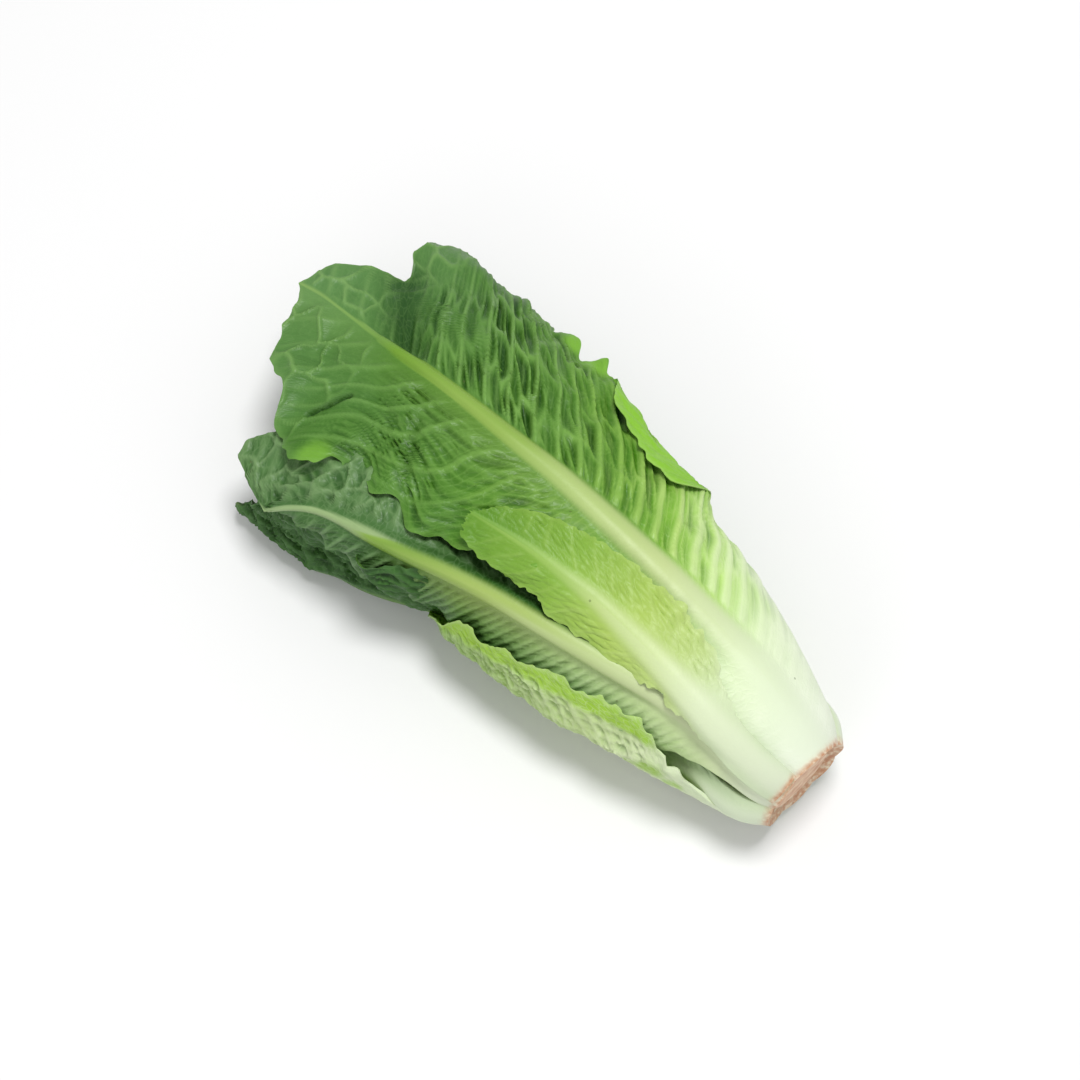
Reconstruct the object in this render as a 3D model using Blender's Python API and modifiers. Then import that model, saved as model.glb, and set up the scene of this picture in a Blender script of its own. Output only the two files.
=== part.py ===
"""A romaine lettuce head, cut and lying on its side: a short conical stem with leaves wrapped round it.

Frame: +X runs along the head towards the cut stem, +Z is up, and the head lies on z = 0.
A leaf is a sheet wrapped round the head. Its place is given by the distance from the cut (mm), the angle
round the head (degrees, 0 on top, growing towards +Y), and the shell it lies on below the outside.
"""

import math

import bmesh
import bpy
import numpy as np

MM = 0.001

# ---------------------------------------------------------------- the head as a whole (mm)
CUT_X = 153.0
HEAD_Y = 2.9
HALF_WIDTH = ((0, 25), (8, 32.5), (22, 38), (40, 43), (60, 48), (82, 53.5), (118, 59), (150, 61.5),
              (176, 64), (210, 71), (250, 75), (307, 72))
HALF_HEIGHT = ((0, 24.5), (12, 30), (30, 34.5), (55, 38.5), (82, 41.5), (118, 44), (176, 45), (210, 43),
               (250, 38), (307, 30))
HEAD_SINKS = ((0, 7), (12, 2), (30, -1), (55, -3.5), (118, -4), (250, -4), (307, 0))
GROUND_SOFTNESS = 0.5

# ---------------------------------------------------------------- the stem (mm)
STEM_LENGTH = 46.0
STEM_RADIUS = ((0, 16.2), (3, 15.6), (9, 12.2), (46, 2.6))
STEM_SIDES = 24

# ---------------------------------------------------------------- the leaves (mm)
BLADE_THICKNESS = 0.8
PETIOLE_DEPTH = 5.2
FRONT_PETIOLE_DEPTH = 1.3
SHELL_STEP = 3.0
PETIOLE_LENGTH = 48.0
HEART_LENGTH = 70.0
VEIN_SWEEP = 0.16
CURL_RUN = 0.08
INNER_LEAVES = 10
GOLDEN_ANGLE = 137.5
OUTER_STACK = 16.0
OUTER_GRID = (18, 6)
INNER_GRID = (13, 6)


def through(points, at):
    """A smooth curve through (position, value) points, read at one or many positions."""
    xs, ys = np.array(points, float).T
    slopes = np.diff(ys) / np.diff(xs)
    tangents = np.concatenate([[slopes[0]], (slopes[1:] + slopes[:-1]) / 2, [slopes[-1]]])
    tangents[1:-1][slopes[1:] * slopes[:-1] <= 0] = 0
    at = np.clip(at, xs[0], xs[-1])
    i = np.clip(np.searchsorted(xs, at, side="right") - 1, 0, len(xs) - 2)
    span = xs[i + 1] - xs[i]
    f = (at - xs[i]) / span
    return (ys[i] * (1 + 2 * f) * (1 - f) ** 2 + tangents[i] * span * f * (1 - f) ** 2
            + ys[i + 1] * f * f * (3 - 2 * f) - tangents[i + 1] * span * f * f * (1 - f))


def eased(f):
    """0 to 1 with a soft start and end."""
    f = np.clip(f, 0, 1)
    return f * f * (3 - 2 * f)


def head_radius(cut, angle):
    """From the head's axis to its outside, flattened where the head lies on the ground."""
    a, b = through(HALF_WIDTH, cut), through(HALF_HEIGHT, cut)
    s, c = np.sin(angle), np.cos(angle)
    round_one = 1 / np.sqrt((s / a) ** 2 + (c / b) ** 2)
    to_ground = head_height(cut) / np.maximum(-c, 1e-3)
    return (round_one ** -24.0 + to_ground ** -24.0) ** (-1 / 24)


def head_height(cut):
    """The height of the head's axis above the ground."""
    return through(HALF_HEIGHT, cut) + through(HEAD_SINKS, cut)


def shell_radius(leaf, cut, angle):
    """The radius of the shell that a leaf lies on: petioles hug the stem, and blades lie in their order."""
    outside = head_radius(cut, angle)
    if leaf["inner"] is None:
        depth = 1.2 + SHELL_STEP * leaf["shell"]
        return outside - leaf["base"] - (depth - leaf["base"]) * eased(cut / PETIOLE_LENGTH)
    j = leaf["inner"]
    start = leaf["cut"][0]
    at_stem = through(STEM_RADIUS, start) + 2.0
    share = 1 - (j + 0.2) / (INNER_LEAVES + 1.2)
    at_blade = np.maximum(outside - OUTER_STACK * eased(cut / PETIOLE_LENGTH), 1) * share
    grown = eased((cut - start) / HEART_LENGTH)
    return at_stem + (at_blade - at_stem) * grown


def side_grid(leaf, name, rows, columns):
    """Where one half's points lie: along the leaf (0 to 1), from the cut (mm), out from the rib (mm)."""
    u = np.linspace(0, 1, rows)[:, None]
    v = np.linspace(0, 1, columns)[None, :]
    end = through(leaf["tip_" + name], v)
    t = end * (u + VEIN_SWEEP * 4 * u * (1 - u) * v)
    cut = leaf["cut"][0] + (leaf["cut"][1] - leaf["cut"][0]) * t
    return t, cut, v * through(leaf["width_" + name], t)


def blade_pitch(curls, rows, columns):
    """The slope of the blade across the leaf (radians), which its curls bend away from the shell."""
    u = np.linspace(0, 1, rows)[:, None]
    v = np.linspace(0, 1, columns)[None, :]
    pitch = np.zeros((rows, columns))
    for low, high, first, last, degrees in curls:
        along = eased((u - low) / CURL_RUN) * eased((high - u) / CURL_RUN)
        pitch += math.radians(degrees) * along * eased((v - first) / (last - first))
    return pitch


def wrap_side(leaf, side, t, cut, across, pitch):
    """Follow the blade out from the rib in steps: the angle reached and the distance from the axis."""
    steps = np.diff(across, axis=1, prepend=0)
    swing = np.radians(through(leaf["angle"], t))
    lift = through(leaf["lift"], t)
    turned, raised = np.zeros(t.shape), np.zeros(t.shape)
    for k in range(1, t.shape[1]):
        here = swing[:, k] + side * turned[:, k - 1]
        radius = shell_radius(leaf, cut[:, k], here) + raised[:, k - 1] + lift[:, k]
        turned[:, k] = turned[:, k - 1] + np.cos(pitch[:, k]) * steps[:, k] / np.maximum(radius, 2.0)
        raised[:, k] = raised[:, k - 1] + np.sin(pitch[:, k]) * steps[:, k]
    angle = swing + side * turned
    return angle, shell_radius(leaf, cut, angle) + lift + raised


def above_ground(z, lowest):
    """A height that eases out on the ground instead of going through it."""
    return lowest + GROUND_SOFTNESS * np.logaddexp(0, (z - lowest) / GROUND_SOFTNESS)


def leaf_side(leaf, side, rows, columns):
    """Points of one half of a leaf, from base to tip and from rib to margin, and its thickness there."""
    name = "left" if side < 0 else "right"
    t, cut, across = side_grid(leaf, name, rows, columns)
    pitch = blade_pitch(leaf["curl_" + name], rows, columns)
    angle, radius = wrap_side(leaf, side, t, cut, across, pitch)
    thick = BLADE_THICKNESS + (rib_thickness(leaf, t) - BLADE_THICKNESS) * rib_share(leaf, t, across)
    x = CUT_X - cut
    y = HEAD_Y + radius * np.sin(angle)
    z = above_ground(head_height(cut) + radius * np.cos(angle), thick / 2)
    return np.stack([x, y, z], axis=2) * MM, thick


def rib_thickness(leaf, t):
    """The midrib's thickness, from the petiole to the tip."""
    return through(leaf["rib_thick"], t)


def rib_share(leaf, t, across):
    """1 on the midrib, fading to 0 in the blade."""
    return 1 - eased(np.abs(across) / through(leaf["rib_half"], t))


def leaf_sheet(leaf, rows, columns):
    """The whole leaf, rows by (2 columns - 1) points from margin to margin, and its thickness there."""
    left, thick_left = leaf_side(leaf, -1, rows, columns)
    right, thick_right = leaf_side(leaf, 1, rows, columns)
    return (np.concatenate([left[:, :0:-1], right], axis=1),
            np.concatenate([thick_left[:, :0:-1], thick_right], axis=1))


def outer_leaf(shell, cut, angle, width_left, width_right, lift=((0, 0), (1, 0)),
               tip_left=((0, 1), (1, 0.9)), tip_right=((0, 1), (1, 0.9)), curl_left=(), curl_right=(),
               rib=(4.4, 2.8, 1.0), rib_half=(7, 5, 2), base=PETIOLE_DEPTH):
    """A leaf of the outside. Widths, angle and lift are read along the leaf, 0 at its base, 1 at its tip.

    A curl is (from, to, inner, outer, degrees): between two places along the leaf, the blade bends by that
    much between two shares of its half width, outwards when it is positive.
    """
    return {"inner": None, "shell": shell, "base": base, "cut": cut, "angle": angle, "lift": lift,
            "width_left": width_left, "width_right": width_right,
            "tip_left": tip_left, "tip_right": tip_right,
            "curl_left": curl_left, "curl_right": curl_right,
            "rib_thick": ((0, rib[0]), (0.4, rib[1]), (1, rib[2])),
            "rib_half": ((0, rib_half[0]), (0.4, rib_half[1]), (1, rib_half[2]))}


OUTER = {
    "small_front_leaf": outer_leaf(
        -1.5, (0.4, 168),
        ((0, -30), (0.15, -28), (0.31, -24), (0.45, -21.5), (0.6, -21), (0.72, -23), (0.83, -25), (1, -31)),
        ((0, 4), (0.3, 7), (0.4, 10), (0.5, 16), (0.67, 19), (0.73, 16), (0.8, 16.5), (0.9, 14), (1, 9)),
        ((0, 4), (0.12, 7), (0.26, 15), (0.39, 21), (0.6, 21), (0.76, 19), (0.89, 13), (1, 5)),
        tip_left=((0, 1), (1, 0.98)), tip_right=((0, 1), (1, 0.95)),
        rib=(2.4, 2.2, 1.0), rib_half=(4, 5, 2), base=FRONT_PETIOLE_DEPTH),
    "top_leaf": outer_leaf(
        0, (0.4, 307),
        ((0, 16), (0.12, 18), (0.25, 17), (0.37, 15), (0.5, 13.5), (0.62, 11), (0.95, 11), (1, 7)),
        ((0, 10), (0.08, 19), (0.16, 28), (0.3, 37), (0.45, 45), (0.556, 51), (0.6, 56), (0.65, 51),
         (0.68, 55), (0.73, 51), (0.78, 58), (0.86, 51), (0.89, 38), (0.91, 37), (0.94, 32), (1, 26)),
        ((0, 17), (0.05, 22), (0.13, 32), (0.27, 58), (0.4, 76), (0.55, 86), (0.7, 86), (0.78, 86),
         (0.87, 76), (1, 70)),
        tip_left=((0, 1), (0.16, 0.985), (0.31, 0.974), (0.69, 0.966), (1, 0.94)),
        tip_right=((0, 1), (0.24, 0.989), (0.33, 0.95), (0.45, 0.9), (0.56, 0.927), (0.66, 0.928),
                   (0.82, 0.905), (1, 0.872)),
        curl_left=((0.62, 1.3, 0.55, 0.8, 16),)),
    "front_leaf": outer_leaf(
        2, (0.4, 243),
        ((0, -40), (0.08, -37), (0.25, -39), (0.37, -45), (0.46, -50), (0.56, -55), (0.65, -60),
         (0.74, -65), (0.85, -68), (0.925, -72), (0.98, -79), (1, -83)),
        ((0, 8), (0.12, 12.5), (0.2, 18), (0.4, 29), (0.56, 30), (0.66, 28), (0.78, 21), (0.9, 12), (1, 4)),
        ((0, 4.6), (0.12, 7), (0.2, 16), (0.4, 32), (0.7, 42), (1, 44), (1.2, 36)),
        lift=((0, 0), (0.14, 0), (0.3, 3), (0.6, 4), (0.8, 8), (1, 13)),
        tip_left=((0, 1), (1, 0.94)), tip_right=((0, 1), (0.1, 1.08), (0.3, 1.13), (0.5, 1.11), (1, 1.0)),
        curl_left=((0.2, 0.7, 0.02, 0.16, -22), (0.2, 0.7, 0.3, 0.45, 22)),
        curl_right=((0.14, 1.3, 0.02, 0.16, -42), (0.14, 1.3, 0.28, 0.4, 36))),
    "low_front_leaf": outer_leaf(
        4, (0.4, 269),
        ((0, -85), (0.3, -98), (0.6, -108), (0.8, -111), (1, -103)),
        ((0, 6.6), (0.12, 12), (0.3, 20), (0.6, 16), (0.72, 15), (0.85, 24), (1, 18)),
        ((0, 7), (0.12, 12), (0.3, 24), (0.6, 38), (0.72, 38), (0.85, 44), (1, 26)),
        lift=((0, 0), (0.64, 0), (0.7, 6), (0.77, 19), (0.83, 26), (1, 26)),
        tip_left=((0, 1), (1, 0.94)), tip_right=((0, 1), (1, 0.94)),
        curl_right=((0.6, 1.3, 0.02, 0.2, -50), (0.6, 1.3, 0.45, 0.6, 46))),
    "near_under_leaf": outer_leaf(
        1, (0.4, 176),
        ((0, -125), (0.15, -128), (0.4, -130), (1, -124)),
        ((0, 8.8), (0.12, 12), (0.3, 20), (0.7, 28), (1, 14)),
        ((0, 6.6), (0.12, 11), (0.3, 34), (0.6, 56), (0.85, 46), (1, 24)),
        curl_right=((0.12, 1.3, 0.30, 0.5, 20), (0.16, 1.3, 0.78, 0.9, -150))),
    "under_leaf": outer_leaf(
        0, (0.4, 250),
        ((0, 178), (1, 176)),
        ((0, 7.2), (0.12, 12.5), (0.3, 32), (0.65, 54), (0.85, 44), (1, 20)),
        ((0, 8.6), (0.12, 13), (0.3, 32), (0.65, 48), (0.85, 32), (1, 16))),
    "far_under_leaf": outer_leaf(
        2, (0.4, 240),
        ((0, 134), (0.5, 130), (1, 128)),
        ((0, 7), (0.12, 12), (0.3, 28), (0.65, 50), (0.85, 44), (1, 20)),
        ((0, 7.2), (0.12, 12), (0.3, 28), (0.65, 46), (0.85, 40), (1, 20))),
    "far_leaf": outer_leaf(
        4, (0.4, 222),
        ((0, 91), (0.5, 84), (1, 82)),
        ((0, 8), (0.12, 13), (0.3, 30), (0.65, 52), (0.85, 46), (1, 22)),
        ((0, 7), (0.12, 12), (0.3, 28), (0.65, 46), (0.85, 40), (1, 20))),
}


def inner_leaf(j):
    """The j-th leaf in from the outside, a golden angle on from the one before it."""
    share = j / (INNER_LEAVES - 1)
    start = 7.0 + 2.4 * j
    length = 262.0 - 118.0 * share
    half = 62.0 - 30.0 * share
    wraps = {"inner": j, "shell": None, "cut": (start, start + length), "curl_left": (), "curl_right": ()}
    turn = 40.0 + GOLDEN_ANGLE * j
    wraps["angle"] = ((0, turn), (1, turn + 6))
    wraps["lift"] = ((0, 0), (1, 0))
    most = 2.15 * min(shell_radius(wraps, start + f * length, math.pi / 2) for f in (0.5, 0.8))
    half = min(half, most)
    base = 4.4 - 1.6 * share
    wraps["width_left"] = wraps["width_right"] = (
        (0, base), (0.18, base + 1.5), (0.4, 0.5 * half), (0.65, half), (0.85, 0.86 * half),
        (1, 0.4 * half))
    wraps["tip_left"] = wraps["tip_right"] = ((0, 1), (1, 0.88))
    wraps["rib_thick"] = ((0, 1.3), (0.3, 1.2), (1, 0.8))
    wraps["rib_half"] = ((0, 4), (1, 2))
    return wraps


# ---------------------------------------------------------------- Blender objects
def clear_scene():
    for obj in list(bpy.data.objects):
        bpy.data.objects.remove(obj)


def material(name, colour, roughness):
    made = bpy.data.materials.new(name)
    made.use_nodes = True
    shader = made.node_tree.nodes["Principled BSDF"]
    shader.inputs["Base Color"].default_value = (*colour, 1)
    shader.inputs["Roughness"].default_value = roughness
    return made


def add_leaf(name, leaf, grid, finish, collection):
    """A grid moved onto the leaf's sheet, and thickened by Solidify, most along its midrib."""
    rows, columns = grid
    points, thick = leaf_sheet(leaf, rows, columns)
    across = points.shape[1]
    mesh = bpy.data.meshes.new(name)
    shape = bmesh.new()
    bmesh.ops.create_grid(shape, x_segments=across - 1, y_segments=rows - 1, size=0.5)
    shape.to_mesh(mesh)
    shape.free()
    flat = points.reshape(-1, 3)
    mesh.vertices.foreach_set("co", flat.ravel())
    obj = bpy.data.objects.new(name, mesh)
    collection.objects.link(obj)
    thickest = float(thick.max())
    group = obj.vertex_groups.new(name="thickness")
    for index, value in enumerate(thick.ravel()):
        group.add([index], float(value) / thickest, "REPLACE")
    skin = obj.modifiers.new("Skin", "SOLIDIFY")
    skin.thickness = thickest * MM
    skin.offset = 0
    skin.vertex_group = "thickness"
    mesh.materials.append(finish)
    mesh.shade_smooth()
    return obj


def add_stem(finish, collection):
    """The stem: a profile turned about the head's axis, flat at the cut and closed at its growing point."""
    profile = [(0, 0), (0, through(STEM_RADIUS, 0) - 0.8), (0.8, through(STEM_RADIUS, 0))]
    profile += [(cut, float(through(STEM_RADIUS, cut))) for cut in (8, 20, 34, STEM_LENGTH - 2)]
    profile += [(STEM_LENGTH, 0)]
    mesh = bpy.data.meshes.new("stem")
    shape = bmesh.new()
    spun = [shape.verts.new((cut * MM, radius * MM, 0)) for cut, radius in profile]
    for first, second in zip(spun, spun[1:]):
        shape.edges.new((first, second))
    shape.to_mesh(mesh)
    shape.free()
    obj = bpy.data.objects.new("stem", mesh)
    collection.objects.link(obj)
    obj.location = (CUT_X * MM, HEAD_Y * MM, float(head_height(STEM_LENGTH / 2)) * MM)
    obj.rotation_euler = (0, 0, math.pi)
    turn = obj.modifiers.new("Turn", "SCREW")
    turn.axis = "X"
    turn.steps = turn.render_steps = STEM_SIDES
    turn.use_merge_vertices = True
    turn.merge_threshold = 0.00005
    turn.use_normal_flip = True
    mesh.materials.append(finish)
    return obj


def leaf_colour(name):
    return {
        "small_front_leaf": (0.45, 0.60, 0.26),
        "top_leaf": (0.13, 0.27, 0.07),
        "front_leaf": (0.23, 0.38, 0.14),
        "low_front_leaf": (0.11, 0.24, 0.08),
        "near_under_leaf": (0.25, 0.42, 0.08),
        "under_leaf": (0.14, 0.28, 0.08),
        "far_under_leaf": (0.15, 0.30, 0.08),
        "far_leaf": (0.18, 0.36, 0.07),
    }[name]


def heart_colour(j):
    """Green in the outermost leaf of the heart, pale yellow at its middle."""
    share = j / (INNER_LEAVES - 1)
    return (0.20 + 0.40 * share, 0.38 + 0.26 * share, 0.08 + 0.14 * share)


def main():
    clear_scene()
    head = bpy.data.collections.new("romaine_lettuce_head")
    bpy.context.scene.collection.children.link(head)
    add_stem(material("stem_finish", (0.78, 0.68, 0.48), 0.5), head)
    for name, leaf in OUTER.items():
        add_leaf(name, leaf, OUTER_GRID, material(name + "_finish", leaf_colour(name), 0.45), head)
    for j in range(INNER_LEAVES):
        name = f"inner_leaf_{j + 1:02d}"
        add_leaf(name, inner_leaf(j), INNER_GRID, material(name + "_finish", heart_colour(j), 0.45), head)


main()
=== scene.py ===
# %% [markdown]
# # A head of romaine lettuce, lying on its side
# The head is a short conical stem with long leaves wrapped round it, each held by a thick midrib. The leaves
# overlap in layers, so each one is made as its own sheet and laid in its own place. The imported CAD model
# gives the place and the size of every piece, and this file gives each one its fine surface and its colours.
# The studio is in metres. A leaf is worked out in millimetres, which become metres in its mesh.

import math

import bpy
import numpy as np
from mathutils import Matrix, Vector


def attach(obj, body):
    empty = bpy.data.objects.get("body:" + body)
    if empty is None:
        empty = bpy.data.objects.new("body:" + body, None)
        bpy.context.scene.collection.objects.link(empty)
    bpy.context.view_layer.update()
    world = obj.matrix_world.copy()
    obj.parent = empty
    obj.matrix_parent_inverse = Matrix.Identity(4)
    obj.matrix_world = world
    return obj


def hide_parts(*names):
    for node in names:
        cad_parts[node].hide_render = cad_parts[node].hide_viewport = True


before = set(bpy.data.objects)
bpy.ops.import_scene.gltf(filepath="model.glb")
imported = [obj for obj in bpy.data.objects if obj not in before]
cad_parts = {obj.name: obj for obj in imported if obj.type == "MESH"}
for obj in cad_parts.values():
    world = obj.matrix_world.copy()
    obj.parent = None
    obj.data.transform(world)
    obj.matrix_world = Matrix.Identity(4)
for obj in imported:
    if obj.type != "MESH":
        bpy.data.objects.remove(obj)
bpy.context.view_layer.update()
MM = 0.001

# %% [markdown]
# ## The studio
# A pale floor, a soft light from above, a weaker one from the near side, and a pale surround. The floor lies
# a little below the head, so that their faces never coincide. The camera looks down steeply with a long lens,
# so there is little perspective. VIEW_HEIGHT is how much of the scene it takes in at AIM.

# %% Floor
FLOOR_WIDTH, FLOOR_DROP = 6.0, 0.0004
PALE_GREY = (0.80, 0.80, 0.80, 1)
bpy.ops.object.select_all(action="DESELECT")
bpy.ops.mesh.primitive_plane_add(size=FLOOR_WIDTH, location=(0, 0, -FLOOR_DROP))
floor = bpy.context.object
floor.name = "floor"
floor_finish = bpy.data.materials.new("floor_finish")
floor_finish.use_nodes = True
floor_shader = floor_finish.node_tree.nodes["Principled BSDF"]
for key, given in (("Base Color", PALE_GREY), ("Roughness", 0.9), ("Specular IOR Level", 0.1)):
    floor_shader.inputs[key].default_value = given
floor.data.materials.append(floor_finish)
print("floor", FLOOR_WIDTH, "m wide")

# %% Lights
HEAD_MIDDLE = Vector((0, 0, 0.045))
WHITE, SURROUND_STRENGTH = (1.0, 1.0, 1.0, 1), 0.56


def add_softbox(name, place, size, watts):
    """A round area light that faces the head."""
    lamp = bpy.data.lights.new(name, "AREA")
    lamp.shape = "DISK"
    lamp.size = size
    lamp.energy = watts
    obj = bpy.data.objects.new(name, lamp)
    bpy.context.scene.collection.objects.link(obj)
    obj.location = place
    obj.rotation_euler = (HEAD_MIDDLE - Vector(place)).to_track_quat("-Z", "Y").to_euler()
    print(name, watts, "W")


add_softbox("key_softbox", (0.05, 0.25, 1.80), 0.60, 23)
add_softbox("fill_softbox", (0.35, -1.15, 0.60), 0.90, 3)
world = bpy.data.worlds.new("studio")
world.use_nodes = True
surround = world.node_tree.nodes["Background"]
surround.inputs["Color"].default_value = WHITE
surround.inputs["Strength"].default_value = SURROUND_STRENGTH
bpy.context.scene.world = world
bpy.context.scene.view_settings.view_transform = "Standard"

# %% Camera
AZIMUTH, ELEVATION = math.radians(45), math.radians(68)
LENS, SENSOR = 85.0, 36.0
VIEW_HEIGHT = 0.4615
AIM = Vector((0.003, -0.0011, 0.045))
distance = VIEW_HEIGHT / 2 / (SENSOR / 2 / LENS)
back = Vector((math.sin(AZIMUTH) * math.cos(ELEVATION), -math.cos(AZIMUTH) * math.cos(ELEVATION),
               math.sin(ELEVATION)))
lens = bpy.data.cameras.new("camera")
lens.lens, lens.sensor_width = LENS, SENSOR
camera = bpy.data.objects.new("camera", lens)
bpy.context.scene.collection.objects.link(camera)
camera.location = AIM + back * distance
camera.rotation_euler = (-back).to_track_quat("-Z", "Y").to_euler()
bpy.context.scene.camera = camera
print("camera", round(distance, 3), "m away")

# %% [markdown]
# ## Curves, soft steps and noise
# Widths, angles and heights along a leaf are smooth curves through a few chosen values. A cubic through the
# points is used, because a spline object would have to be sampled anyway. What is uneven in a leaf comes from
# noise worked out from whole numbers, so every run grows the same leaf.

# %% Curves and noise
SCRAMBLERS = (374761393, 668265263, 982451653, 1274126177)
LOW_32_BITS, LOW_16_BITS = 0xFFFFFFFF, 0xFFFF
SPOT_FROM, SPOT_ROOM = 0.12, 0.76


def through(points, at):
    """A smooth curve through (position, value) points, read at one or many positions."""
    xs, ys = np.array(points, float).T
    slopes = np.diff(ys) / np.diff(xs)
    tangents = np.concatenate([[slopes[0]], (slopes[1:] + slopes[:-1]) / 2, [slopes[-1]]])
    tangents[1:-1][slopes[1:] * slopes[:-1] <= 0] = 0
    at = np.clip(at, xs[0], xs[-1])
    i = np.clip(np.searchsorted(xs, at, side="right") - 1, 0, len(xs) - 2)
    span = xs[i + 1] - xs[i]
    f = (at - xs[i]) / span
    return (ys[i] * (1 + 2 * f) * (1 - f) ** 2 + tangents[i] * span * f * (1 - f) ** 2
            + ys[i + 1] * f * f * (3 - 2 * f) - tangents[i + 1] * span * f * f * (1 - f))


def read(value, t):
    """A plain number, or a curve read along the leaf."""
    return value if isinstance(value, (int, float)) else through(value, t)


def eased(f):
    """0 to 1 with a soft start and end."""
    f = np.clip(f, 0, 1)
    return f * f * (3 - 2 * f)


def after(x, start, run):
    """0 up to start, then a soft step up to 1 over run."""
    return eased((x - start) / run)


def between(t, low, high, soft):
    """1 between two places, fading to 0 outside them."""
    return eased((t - low) / soft + 0.5) * eased((high - t) / soft + 0.5)


def peak(off, width):
    """1 on a line, fading to 0 on either side of it."""
    return np.exp(-(off / width) ** 2)


def hashed(i, j, seed):
    """A repeatable number from 0 to 1 for each whole-number place."""
    first, second, third, last = SCRAMBLERS
    n = np.asarray(i).astype(np.int64) * first + np.asarray(j).astype(np.int64) * second
    n = (n + seed * third) & LOW_32_BITS
    n = ((n ^ (n >> 13)) * last) & LOW_32_BITS
    return ((n ^ (n >> 16)) & LOW_16_BITS) / LOW_16_BITS


def noise(x, y, seed):
    """Smooth noise from -1 to 1, about one bump to a unit."""
    i, j = np.floor(x), np.floor(y)
    fx, fy = eased(x - i), eased(y - j)
    low = hashed(i, j, seed) * (1 - fx) + hashed(i + 1, j, seed) * fx
    high = hashed(i, j + 1, seed) * (1 - fx) + hashed(i + 1, j + 1, seed) * fx
    return 2 * (low * (1 - fy) + high * fy) - 1


def cells(x, y, seed):
    """One spot in each unit square: how far the nearest and the next are, and a number for the nearest."""
    i, j = np.floor(x), np.floor(y)
    first, second, owner = np.full(x.shape, 9.0), np.full(x.shape, 9.0), np.zeros(x.shape)
    for a in (-1, 0, 1):
        for b in (-1, 0, 1):
            spot_x = i + a + SPOT_FROM + SPOT_ROOM * hashed(i + a, j + b, seed)
            spot_y = j + b + SPOT_FROM + SPOT_ROOM * hashed(i + a, j + b, seed + 1)
            far = np.hypot(spot_x - x, spot_y - y)
            nearer = far < first
            second = np.where(nearer, first, np.minimum(second, far))
            owner = np.where(nearer, hashed(i + a, j + b, seed + 2), owner)
            first = np.where(nearer, far, first)
    return first, second, owner


print("noise at one place", round(float(noise(0.3, 0.7, 1)), 3))

# %% [markdown]
# ## The form of the head
# Every leaf lies on a shell below the head's outside. The outside is an ellipse round an axis, wider and
# lower towards the tips, and flattened where it lies on the ground. Places along the head are measured from
# its cut end, and angles round it from its top. The heart's leaves share the room inside the outer ones.

# %% Head form
CUT_X, HEAD_Y = 153.0, 2.9
HALF_WIDTH = ((0, 25), (8, 32.5), (22, 38), (40, 43), (60, 48), (82, 53.5), (118, 59), (150, 61.5),
              (176, 64), (210, 71), (250, 75), (307, 72))
HALF_HEIGHT = ((0, 24.5), (12, 30), (30, 34.5), (55, 38.5), (82, 41.5), (118, 44), (176, 45), (210, 43),
               (250, 38), (307, 30))
HEAD_SINKS = ((0, 7), (12, 2), (30, -1), (55, -3.5), (118, -4), (250, -4), (307, 0))
STEM_RADIUS = ((0, 16.2), (3, 15.6), (9, 12.2), (46, 2.6))
SKIN_DEPTH, SHELL_STEP, STEM_GAP = 1.2, 3.0, 2.0
PETIOLE_LENGTH, HEART_LENGTH = 48.0, 70.0
OUTER_STACK, INNER_LEAVES = 16.0, 10
GROUND_BLEND = 24.0


def head_height(cut):
    """How high the head's axis is above the ground."""
    return through(HALF_HEIGHT, cut) + through(HEAD_SINKS, cut)


def head_radius(cut, angle):
    """From the head's axis to its outside. A high power joins ellipse and ground with a small round."""
    a, b = through(HALF_WIDTH, cut), through(HALF_HEIGHT, cut)
    s, c = np.sin(angle), np.cos(angle)
    round_one = 1 / np.sqrt((s / a) ** 2 + (c / b) ** 2)
    to_ground = head_height(cut) / np.maximum(-c, 1e-3)
    return (round_one ** -GROUND_BLEND + to_ground ** -GROUND_BLEND) ** (-1 / GROUND_BLEND)


def shell_radius(leaf, cut, angle):
    """From the head's axis to the shell that a leaf lies on."""
    outside = head_radius(cut, angle)
    if leaf["inner"] is None:
        depth = SKIN_DEPTH + SHELL_STEP * leaf["shell"]
        return outside - leaf["base"] - (depth - leaf["base"]) * eased(cut / PETIOLE_LENGTH)
    start = leaf["cut"][0]
    at_stem = through(STEM_RADIUS, start) + STEM_GAP
    share = 1 - (leaf["inner"] + 0.2) / (INNER_LEAVES + 1.2)
    at_blade = np.maximum(outside - OUTER_STACK * eased(cut / PETIOLE_LENGTH), 1) * share
    return at_stem + (at_blade - at_stem) * after(cut, start, HEART_LENGTH)


print("the axis half way along is", round(float(head_height(150)), 1), "mm above the ground")

# %% [markdown]
# ## A leaf as a sheet
# A leaf could be sculpted, but a sheet that is steered by numbers can be checked against the CAD solid. The
# sheet starts at the midrib and goes out to each margin in small steps. Each step turns round the head, and
# where the blade curls or folds, the step climbs away from the shell. Where a blade would come out through
# the leaf above it, a ceiling presses it back under.

# %% Lay out half a leaf
VEIN_SWEEP, CURL_RUN = 0.16, 0.08  # shares of the leaf's length
TIP_JAG, TIP_WAVES = 1.2, 90  # mm, how uneven the tip is, and the width its teeth are counted on
FINE_TEETH, FINE_SHARE = 2.6, 0.7  # small teeth to a large one, and their height
BARE_BASE, BARE_RUN = 0.1, 0.15  # where the teeth and the troughs begin, and how softly
LEAST_TURN = 2.0  # mm, the tightest a sheet may turn round the axis
CEILING_OFF, CEILING_RUN, CEILING_SOFT = 25, 0.1, 0.8


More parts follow.
